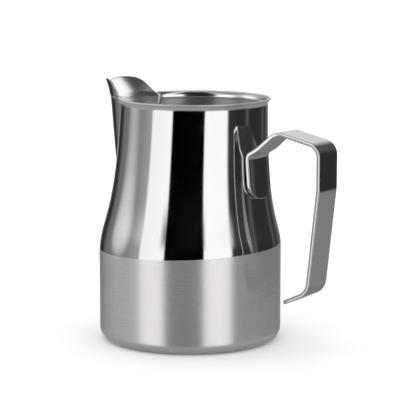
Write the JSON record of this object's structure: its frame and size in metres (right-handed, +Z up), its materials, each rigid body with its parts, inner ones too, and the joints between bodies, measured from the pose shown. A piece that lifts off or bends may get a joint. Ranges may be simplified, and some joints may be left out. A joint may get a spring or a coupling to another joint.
{
  "type": "milk frothing pitcher",
  "caption": "Bell-shaped stainless steel milk frothing pitcher with a straight lower body, welded V spout, flared lip and open bent-strip handle.",
  "frame": {"origin": "centre of the base on the plane that it stands on", "axes": "+Z up, +X from the pitcher's axis towards the handle, -X towards the spout, Y across"},
  "size_m": [0.1261, 0.0874, 0.1235],
  "materials": {
    "body_steel": "satin cylinder below the shoulder line, mirror polish above it, satin inside",
    "spout_steel": "mirror polish outside, satin inside",
    "handle_steel": "polished strip",
    "weld_steel": "ground weld"
  },
  "bodies": {
    "root": {"pitcher_body": "body_steel", "pour_spout": "spout_steel", "spout_weld_left": "weld_steel", "spout_weld_right": "weld_steel", "handle": "handle_steel"}
  },
  "joints": []
}
